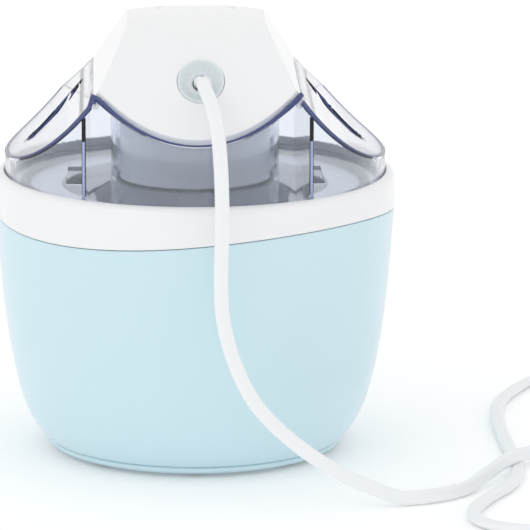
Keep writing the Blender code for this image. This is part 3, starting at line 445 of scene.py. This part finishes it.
LEAD_WIDE, LEAD_THICK = 3.5, 2.2  # half width and half thickness of the flat lead
ROUTE = [
    (1.5, -72.0, 196.4), (1.6, -77.6, 199.2), (2.2, -83.4, 200.2), (3.4, -92.5, 197.6), (6.4, -101.5, 191.0),
    (9.2, -109.5, 178.0), (10.6, -114.0, 158.0),
    (11.0, -116.0, 135.0), (10.4, -118.0, 113.0), (11.4, -121.0, 91.0), (17.4, -127.0, 69.5),
    (27.5, -131.5, 51.0),
    (44.0, -132.5, 34.2), (64.5, -129.5, 19.0), (84.0, -127.5, 9.0), (98.0, -125.5, 3.8),
    (113.0, -120.5, 2.5),
    (128.0, -109.0, 2.9), (141.5, -88.0, 5.8), (154.5, -66.0, 7.6), (168.0, -46.0, 5.8), (184.5, -21.0, 2.8),
    (204.0, 9.0, 2.5), (221.0, 44.0, 2.5), (229.5, 80.0, 2.5), (226.0, 111.0, 2.5), (205.0, 127.5, 2.5),
    (184.0, 118.0, 2.5), (169.0, 93.0, 2.5), (158.5, 62.0, 2.5), (155.5, 24.0, 2.5), (156.5, -18.0, 2.5),
    (158.0, -62.0, 2.3), (152.5, -95.0, 2.5), (138.5, -123.0, 2.5), (130.5, -147.0, 2.5),
    (135.0, -166.5, 2.5),
    (151.0, -176.5, 2.5), (171.0, -178.6, 2.6), (192.0, -178.5, 3.4),
]
TAIL = [
    (260.5, -125.0, 6.8), (260.5, -110.3, 4.8), (260.2, -99.0, 5.4), (259.0, -88.0, 6.6), (258.0, -74.0, 6.8),
]
COIL_X, COIL_Y, COIL_R = 222.0, -140.0, 38.5


def ease(a, b, t):
    """0 before a, 1 after b, and a smooth step between them."""
    s = min(max((t - a) / (b - a), 0), 1)
    return s * s * (3 - 2 * s)


def coil_points():
    """Two and a quarter turns, the first outside the second, with a crossing on each."""
    found = []
    for step in range(0, 54):
        turn = step * 15
        outer = 3.6 * ease(0, 50, turn)
        inner = -7.2 * ease(325, 400, turn)
        leave = 3.6 * ease(700, 800, turn)
        radius = COIL_R + outer + inner + leave
        over = 4.7 * (ease(300, 345, turn) - ease(385, 440, turn) + ease(660, 730, turn))
        angle = math.radians(turn - 90)
        found.append((COIL_X + radius * math.cos(angle), COIL_Y + radius * math.sin(angle), 3.4 + over))
    return found


def smooth_line(route, pieces):
    """A smooth curve through every point of a route in millimetres."""
    points = [Vector(p) * MM for p in route]
    line = []
    for i in range(len(points) - 1):
        before, after = points[max(i - 1, 0)], points[min(i + 2, len(points) - 1)]
        a, b = points[i], points[i + 1]
        line += interpolate_bezier(a, a + (b - before) / 6, b - (after - a) / 6, b, pieces + 1)[:-1]
    line.append(points[-1])
    return line


def evenly(line, step):
    """Points of a line that are at least a step apart."""
    kept, run = [line[0]], 0
    for a, b in zip(line, line[1:]):
        run += (b - a).length
        if run >= step:
            kept.append(b)
            run = 0
    kept[-1] = line[-1]
    return kept


def sweep(name, line, section, first_side, flat_from, flat_to):
    """A tube whose section turns from its carried direction to flat, between two shares of the length."""
    side = Vector(first_side)
    bm = bmesh.new()
    rings, centres = [], []
    lengths = [0]
    for a, b in zip(line, line[1:]):
        lengths.append(lengths[-1] + (b - a).length)
    for i, place in enumerate(line):
        along = (line[min(i + 1, len(line) - 1)] - line[max(i - 1, 0)]).normalized()
        side = (side - along * side.dot(along)).normalized()
        level = along.cross(Vector((0, 0, 1)))
        level = (level if level.length > 1e-3 else side).normalized()
        if level.dot(side) < 0:
            level = -level
        share = ease(flat_from, flat_to, lengths[i] / lengths[-1])
        wide = (side * (1 - share) + level * share).normalized()
        wide = (wide - along * wide.dot(along)).normalized()
        thick = along.cross(wide)
        half_height = math.hypot(wide.z * LEAD_WIDE, thick.z * LEAD_THICK) * MM
        centre = Vector((place.x, place.y, max(place.z, half_height + 0.25 * MM)))
        centres.append(centre)
        rings.append([bm.verts.new(centre + wide * u * MM + thick * v * MM) for u, v in section])
    count = len(section)
    for a, b in zip(rings, rings[1:]):
        for i in range(count):
            j = (i + 1) % count
            bm.faces.new([a[i], a[j], b[j], b[i]])
    bm.faces.new(rings[0])
    bm.faces.new(rings[-1])
    return from_bmesh(name, bm, 60), centres, lengths[-1]


def lead_section():
    """Two rounded cores side by side, with the shallow valley between them."""
    found = []
    for i in range(28):
        angle = 2 * math.pi * i / 28
        u, v = math.cos(angle), math.sin(angle)
        valley = 0.16 * math.exp(-(u / 0.22) ** 2)
        wide = LEAD_WIDE * math.copysign(abs(u) ** 0.8, u)
        found.append((wide, LEAD_THICK * (math.copysign(abs(v) ** 0.8, v)) * (1 - valley)))
    return found


line = evenly(smooth_line(ROUTE + coil_points() + TAIL, 12), 3 * MM)
lead, centres, lead_length = sweep("mains_lead", line, lead_section(), (1, 0, 0), 0.30, 0.42)
lead.data.materials.append(VINYL)
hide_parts("power_cord", "cord_coil", "power_cord_tail")
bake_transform(lead)

plug_side = [(-5.5, 0), (-9, 6), (-16.9, 15), (-17.4, 20), (-17.4, 33), (-15, 36)]
plug = prism("plug", soften([*plug_side, *[(-x, y) for x, y in reversed(plug_side)]], 4), -6.7, 6.7)
round_edges(plug, 2.4, 4, 50)
for ring in range(4):
    rib_r = 5.6 - 0.5 * ring
    rib = lathe(f"relief_{ring}", soften([(2.6, -1.1), (2.6, 1.1), (rib_r, 1.1), (rib_r, -1.1)], 0.5), 32)
    aimed(rib, (0, -1.5 - 3.0 * ring, 0), (0, 1, 0))
    combine(plug, rib, "UNION")
plug.data.transform(Matrix.Translation((0.258, -0.078, 0.0069)))
shade(plug, 40)
finish(plug, VINYL, "base", "white_vinyl", "plug_body")

# ---------------------------------------------------------------- base and collar

def shell_outline(inset):
    """(radius, z) of the body's side from the seam to the foot, moved inwards."""
    top = (SHELL_TOP_R - inset, SEAM_Z)
    waist = (SHELL_WAIST_R - inset, SHELL_WAIST_Z)
    foot = (SHELL_FOOT_R - inset, SHELL_FOOT)
    upper = curve_points(top, (top[0] - 2.2, SEAM_Z - 28), (waist[0] + 6.4, waist[1] + 28), waist, count=26)
    foot_handle = (foot[0] + 8.7, SHELL_FOOT + 9.5)
    lower = curve_points(waist, (waist[0] - 3, waist[1] - 13), foot_handle, foot, count=24)
    return [top, *upper, *lower]


STILL_Z = 68.0  # the seam's wave fades out down to this height
FLANGE_R, FLANGE_TOP = 58.0, 8.8  # the flange at the shell's foot


def shell_wave(angle, r, z):
    return min(max((z - STILL_Z) / (SEAM_Z - STILL_Z), 0), 1) * seam_height(angle)


lip = [(SHELL_TOP_R - 0.6, SEAM_Z), (SHELL_TOP_R - 0.15, SEAM_Z - 0.2), (SHELL_TOP_R, SEAM_Z - 0.7)]
outer = [*lip, *shell_outline(0)[1:]]
inner = [p for p in reversed(shell_outline(SHELL_WALL)) if p[1] > FLANGE_TOP + 1]
flange = [(FLANGE_R, SHELL_FOOT), (FLANGE_R, FLANGE_TOP), (inner[0][0] - 1.2, FLANGE_TOP)]
shell = lathe("shell", [*flange, *inner, *outer], lift=shell_wave)
finish(shell, AQUA, "base", "aqua_plastic", "base_shell")

plate = lathe("under_plate", [(0, 6), (73, 6), (74, 5), (74, 3.5), (72.5, 2.2), (0, 2)], closed=False)
WELLS_R = 66
for x, y in ((WELLS_R, 0), (0, WELLS_R), (-WELLS_R, 0), (0, -WELLS_R)):
    combine(plate, rod("well", 3.2, 0, 4, (x, y), 32))
shade(plate)
finish(plate, AQUA, "base", "aqua_plastic", "base_plate")


def ring_wave(angle, r, z):
    return seam_height(angle) if z < LEDGE_FOOT - 1 else 0


LEDGE_R, RING_SKIRT = 87.0, 2.4
turns = [math.radians(90 - 7.5 * i) for i in range(1, 13)]
shoulder = [(RING_R - RING_SHOULDER * (1 - math.cos(a)), RING_TOP_Z - RING_SHOULDER * (1 - math.sin(a)))
            for a in turns]
ring = lathe("collar", [
    (RING_R - RING_SKIRT, SEAM_Z + GAP), (RING_R - RING_SKIRT, LEDGE_FOOT), (LEDGE_R, LEDGE_FOOT),
    (LEDGE_R, LEDGE_Z), (LID_R + 0.35, LEDGE_Z),
    (LID_R + 0.35, RING_TOP_Z - 0.8), (LID_R + 0.5, RING_TOP_Z - 0.2), (LID_R + 0.9, RING_TOP_Z),
    *shoulder,
    (RING_R, SEAM_Z + 1.0), (RING_R - 0.15, SEAM_Z + 0.5), (RING_R - 0.7, SEAM_Z + GAP),
], lift=ring_wave)
finish(ring, WHITE, "base", "white_plastic", "top_ring")

liner = lathe("bowl_well", [
    (0, 19.7), (74.5, 19.7), (82, 126.1), (96.1, 126.1), (96.1, 124.5), (84, 124.5), (76.5, 17.7), (0, 17.7),
], closed=False)
finish(liner, WHITE, "base", "white_plastic", "liner")

# ---------------------------------------------------------------- freezer bowl

WALL = [(0, 21.5), (72, 21.5), (78.5, 126), (80, 126), (73.5, 21), (72.5, 20), (0, 20)]
BORE = [(0, 32), (58, 32), (62, 36), (66, 126), (67.5, 126), (63.5, 35), (59, 30.5), (0, 30.5)]
COLLAR = [(66, 126.3), (66, 132.3), (91, 132.3), (91, 129.3), (80, 129.3), (80, 126.3)]
GASKET = [(82, 132.6), (83, 134.9), (87, 134.9), (88, 132.6)]
bowl_pieces = [
    ("bowl_wall", WALL, False, ALUMINIUM, "bowl_metal", "bowl_outer"),
    ("bowl_bore", soften(BORE, 6, closed=False), False, ALUMINIUM, "bowl_metal", "bowl_inner"),
    ("bowl_collar", soften(COLLAR, 1.0), True, WHITE, "white_plastic", "bowl_rim"),
    ("bowl_gasket", soften(GASKET, 0.8), True, RUBBER, "rubber", "bowl_seal"),
]
for name, outline, closed, material, slot, node in bowl_pieces:
    finish(lathe(name, outline, closed=closed), material, "bowl", slot, node)

# ---------------------------------------------------------------- lid

LOW = LEDGE_Z + GAP
FILL_X, FILL_Y, FILL_LONG, FILL_SHORT, FILL_TURN = 70.0, 8.0, 20.0, 9.0, math.radians(52)
MOUTH_NEAR, MOUTH_FAR, MOUTH_Y = 1.0, 64.0, 22.0  # the chute's mouth in the floor
SIDE = side_outline(LOW - 5)
across = [(-LID_R - 2, LOW - 5), *[(-x, z) for x, z in reversed(facet_outline(SHOULDER_X))],
          *facet_outline(SHOULDER_X), (LID_R + 2, LOW - 5)]


def lid_body(name, inset):
    """The lid's outer shape, moved inwards."""
    made = rod(name, LID_R - inset, LOW, TOP_Z + 5)
    combine(made, prism(name + "_a", offset(across, inset), -2 * LID_R, 2 * LID_R, "XZ"), "INTERSECT")
    return combine(made, prism(name + "_b", offset(SIDE, inset), -2 * LID_R, 2 * LID_R, "YZ"), "INTERSECT")


lid = lid_body("clear_lid", 0)
room_r = LID_R - LID_WALL
slot_x = SHOULDER_X + GAP
middle = rod("middle", room_r - 0.1, FLOOR_TOP + 3, TOP_Z + 10)
combine(middle, block("slot", (-slot_x, -LID_R, FLOOR_TOP), (slot_x, LID_R, TOP_Z + 20)), "INTERSECT")
under = offset(facet_outline(SHOULDER_X - 5), LID_WALL)
room_outline = [(-LID_R, FLOOR_TOP), *[(-x, z) for x, z in reversed(under)], *under, (LID_R, FLOOR_TOP)]
room = rod("room", room_r, FLOOR_TOP, TOP_Z)
combine(room, prism("room_a", room_outline, -LID_R, LID_R, "XZ"), "INTERSECT")
combine(room, prism("room_b", offset(SIDE, LID_WALL), -LID_R, LID_R, "YZ"), "INTERSECT")
combine(lid, combine(room, middle, "UNION"))
combine(lid, rod("skirt_room", room_r, LOW - 5, FLOOR_LOW))
for sign in (-1, 1):
    x = sign * CHUTE_X
    wall = block("chute_wall", (x - CHUTE_T / 2, -LID_R, FLOOR_TOP - 1), (x + CHUTE_T / 2, LID_R, TOP_Z))
    combine(lid, combine(wall, lid_body("limit", LID_WALL / 2), "INTERSECT"), "UNION")
combine(lid, rod("sleeve", SLEEVE_R, FLOOR_LOW + 0.5, SLEEVE_TOP), "UNION")
combine(lid, rod("bore", SLEEVE_R - SLEEVE_WALL, LOW - 5, SLEEVE_TOP + 1))


def oval(sign, count=72):
    """The filling opening on one side, seen from above."""
    found = []
    for i in range(count):
        angle = 2 * math.pi * i / count
        a, b = FILL_LONG * math.cos(angle), FILL_SHORT * math.sin(angle)
        x = FILL_X + a * math.cos(FILL_TURN) + b * math.sin(FILL_TURN)
        y = FILL_Y - a * math.sin(FILL_TURN) + b * math.cos(FILL_TURN)
        found.append((sign * x, y))
    return found


for sign in (-1, 1):
    combine(lid, prism("fill", oval(sign), FLOOR_TOP + 2, TOP_Z))
    ends = sorted((sign * (CHUTE_X + CHUTE_T / 2 + MOUTH_NEAR), sign * MOUTH_FAR))
    combine(lid, block("mouth", (ends[0], -MOUTH_Y, LOW), (ends[1], MOUTH_Y, FLOOR_TOP + 1)))
shade(lid, 24, weighted=True)
finish(lid, CLEAR, "lid", "clear_plastic", *[n for n in frame["nodes"] if n.startswith("lid")])


PAINTED_LINE_SIDES = 10


def tube(name, line, radius, material, flat=None):
    """A painted line on the lid along points in millimetres, round or with a half width and its half heights:
    the painted shade of its cut edges or the painted highlight of its inner corners.
    """
    bm = bmesh.new()
    rings = []
    for i, place in enumerate(line):
        along = (Vector(line[min(i + 1, len(line) - 1)]) - Vector(line[max(i - 1, 0)])).normalized()
        out = Vector((place[0], place[1], 0)).normalized() if flat else along.orthogonal().normalized()
        out = (out - along * out.dot(along)).normalized()
        up = along.cross(out)
        wide, tall = (flat[0], flat[1][i]) if flat else (radius, radius)
        ring_verts = []
        for k in range(PAINTED_LINE_SIDES):
            angle = 2 * math.pi * k / PAINTED_LINE_SIDES
            reach = out * wide * math.cos(angle) + up * tall * math.sin(angle)
            ring_verts.append(bm.verts.new((Vector(place) + reach) * MM))
        rings.append(ring_verts)
    for a, b in zip(rings, rings[1:]):
        for k in range(PAINTED_LINE_SIDES):
            m = (k + 1) % PAINTED_LINE_SIDES
            bm.faces.new([a[k], a[m], b[m], b[k]])
    bm.faces.new(rings[0])
    bm.faces.new(rings[-1])
    return finish(from_bmesh(name, bm, 50), material, "lid", "clear_plastic")


def arch_height(x, y):
    """Height of the lid's cut wall at a point of its circle."""
    across_z = facet_z(x) if abs(x) >= SHOULDER_X else TOP_Z
    rear_z, front_z = REAR_FOOT_Z + (y + LID_R) * REAR_SLOPE, FRONT_FOOT_Z + (LID_R - y) * FRONT_SLOPE
    return min(across_z, rear_z, front_z)


# Dark navy tubes along the top of the clear lid's cut walls: painted shade of how these clear edges refract.
EDGE_STEPS = 80
edge_r = LID_R - LID_WALL / 2
limit = math.degrees(math.acos(SHOULDER_X / edge_r))
spans = {
    "edge_rear": (270 - (90 - limit), 270 + (90 - limit)),
    "edge_front": (limit, 180 - limit),
    "edge_right": (-limit, limit),
    "edge_left": (180 - limit, 180 + limit),
}
for name, (first, last) in spans.items():
    points, talls = [], []
    for i in range(EDGE_STEPS + 1):
        angle = math.radians(first + (last - first) * i / EDGE_STEPS)
        x, y = edge_r * math.cos(angle), edge_r * math.sin(angle)
        tall = 0.45 + (2 * i / EDGE_STEPS - 1) ** 2  # thin in the middle, thick at the corners, as the painted shade along the cut edge looks
        points.append((x, y, arch_height(x, y) - tall))
        talls.append(tall)
    tube(name, points, None, PAINTED_EDGE_SHADE, flat=(0.9, talls))
# Blue tubes up the corners where the chute walls meet the lid's outer wall: a painted highlight of these
# clear corners, not real ribs.
for sign, side_name in ((-1, "left"), (1, "right")):
    for y_sign, end_name in ((-1, "rear"), (1, "front")):
        x = sign * CHUTE_X
        y = y_sign * math.sqrt((room_r - 0.4) ** 2 - CHUTE_X ** 2)
        tube(f"rib_{side_name}_{end_name}", [(x, y, z) for z in range(139, 171, 2)], 0.8, PAINTED_CORNER_HIGHLIGHT)

# ---------------------------------------------------------------- motor head

reach = LID_R - LID_WALL - GAP
head_low = FRONT_FOOT_Z - 5
crown = crown_outline(SHOULDER_X - GAP)
side = side_outline(head_low)
across = [(-SHOULDER_X + GAP, head_low - 1), *crown, (SHOULDER_X - GAP, head_low - 1)]
head = convex("head_shell", reach, head_low, across, side)
round_edges(head, 3.0, 4, 22)
inner_side = offset(side, HEAD_WALL)
inner_across = offset(across, HEAD_WALL)
combine(head, convex("head_room", reach + 3, head_low - 3, inner_across, inner_side))
cut_low, cut_high = head_low - 8, HEAD_SKIRT_Z
slant_rear = HEAD_WALL * math.hypot(1, 1 / REAR_SLOPE)
slant_front = HEAD_WALL * math.hypot(1, 1 / FRONT_SLOPE)
slab = [(rear_y(cut_low) + slant_rear, cut_low), (rear_y(cut_high) + slant_rear, cut_high),
        (front_y(cut_high) - slant_front, cut_high), (front_y(cut_low) - slant_front, cut_low)]
combine(head, prism("skirt_cut", slab, -LID_R, LID_R, "YZ"))
REAR_OUT = Vector((0, -REAR_SLOPE, 1)).normalized()
gland_place = (GLAND_X, rear_y(GLAND_Z), GLAND_Z)
button_place, button_out = (0, BUTTON_Y, BUTTON_Z), (0, FRONT_SLOPE, 1)
combine(head, aimed(rod("gland_hole", GLAND_R + 0.2, -12, 12), gland_place, REAR_OUT))
combine(head, aimed(rod("button_hole", BUTTON_R + 0.4, -12, 12, sides=64), button_place, button_out))
shade(head, 28, weighted=True)
finish(head, WHITE, "motor_unit", "white_plastic", "motor_housing")

# The dish takes the darker blue-grey of painted recess shade.
gland = lathe("gland_dish", soften([
    (3.9, -7), (3.9, -3.0), (5.8, -2.6), (6.6, -3.2), (8.6, -1.7), (10.2, 0.2), (10.9, 0.35),
    (GLAND_R, 0), (GLAND_R, -3), (7, -7),
], 0.9), 96)
aimed(gland, gland_place, REAR_OUT)
finish(gland, GLAND_SHADE, "motor_unit", "white_plastic", "cord_gland")

button = lathe("start_button", soften([
    (0, 0.9), (4.5, 1.2), (6.6, 1.7), (BUTTON_R, 0.4), (BUTTON_R, -5), (2.5, -5), (2.5, -7), (0, -7),
], 0.9, closed=False), 96, closed=False)
aimed(button, button_place, button_out)
finish(button, WHITE, "button", "white_plastic", "power_button")

plate_x = SHOULDER_X - HEAD_WALL - 2 * GAP
cover_top = COVER_Z + COVER_T
front_edge = front_y(cover_top) - (HEAD_WALL + GAP) * math.hypot(1, 1 / FRONT_SLOPE)
cover = block("head_cover", (-plate_x, rear_y(COVER_Z) + 8.5, COVER_Z), (plate_x, front_edge, cover_top))
drum_room_r, drum_top = DRUM_R - DRUM_WALL, COVER_Z + 0.5
drum = lathe("drum", soften([
    (0, DRUM_FOOT), (drum_room_r, DRUM_FOOT), (drum_room_r, DRUM_SKIRT),
    (DRUM_R, DRUM_SKIRT), (DRUM_R, drum_top), (0, drum_top),
], 0.8, closed=False), closed=False)
combine(cover, drum, "UNION")
combine(cover, rod("drum_room", drum_room_r, DRUM_FOOT + DRUM_WALL, cover_top + 6))
combine(cover, rod("bush_hole", 7, DRUM_FOOT - 6, DRUM_FOOT + 4, sides=48))
shade(cover, weighted=True)
finish(cover, WHITE, "motor_unit", "white_plastic", "motor_cover")

# ---------------------------------------------------------------- materials of the pieces that stay as packed

FINISHES = {
    "steel": STEEL, "brass": BRASS, "nylon": NYLON, "rubber": RUBBER, "coolant": COOLANT,
    "white_plastic": WHITE, "aqua_plastic": AQUA, "bowl_metal": ALUMINIUM, "white_vinyl": VINYL,
    "clear_plastic": CLEAR,
}
for row in frame["record"]["subparts"]:
    node = frame["nodes"][row["node"]]
    node.data.materials.clear()
    node.data.materials.append(FINISHES[row["material_slot"]])
    if not node.hide_render:
        shade(node, 30)

# ---------------------------------------------------------------- studio

def light(name, place, target, size, power):
    """A white area light that faces its target."""
    data = bpy.data.lights.new(name, "AREA")
    data.shape, data.size, data.energy = "SQUARE", size, power
    made = bpy.data.objects.new(name, data)
    made.location = place
    made.rotation_euler = (Vector(target) - Vector(place)).to_track_quat("-Z", "Y").to_euler()
    bpy.context.scene.collection.objects.link(made)


floor_mesh = bpy.data.meshes.new("floor")
floor_mesh.from_pydata([(-6, -6, 0), (6, -6, 0), (6, 6, 0), (-6, 6, 0)], [], [(0, 1, 2, 3)])
floor = link("floor", floor_mesh)
floor.location.z = -0.0002
pale = build_material("pale_floor", (0.93, 0.93, 0.93), 0.8, grain=200, bump=0.02, shift=0.01)
pale_shader = pale.node_tree.nodes["Principled BSDF"]
pale_shader.inputs["Emission Color"].default_value = (1, 1, 1, 1)
pale_shader.inputs["Emission Strength"].default_value = 0.12
floor.data.materials.append(pale)
light("key", (-1.3, -1.5, 1.5), (0, 0, 0.12), 1.2, 3.0)
light("fill", (1.6, -1.3, 0.9), (0, 0, 0.12), 1.4, 0.3)
light("top", (0, 0.3, 2.2), (0, 0, 0.1), 1.8, 0.2)
world = bpy.data.worlds.new("studio")
bpy.context.scene.world = world
world.use_nodes = True
world.node_tree.nodes["Background"].inputs["Color"].default_value = (1, 1, 1, 1)
world.node_tree.nodes["Background"].inputs["Strength"].default_value = 0.97
bpy.context.scene.view_settings.view_transform = "Standard"
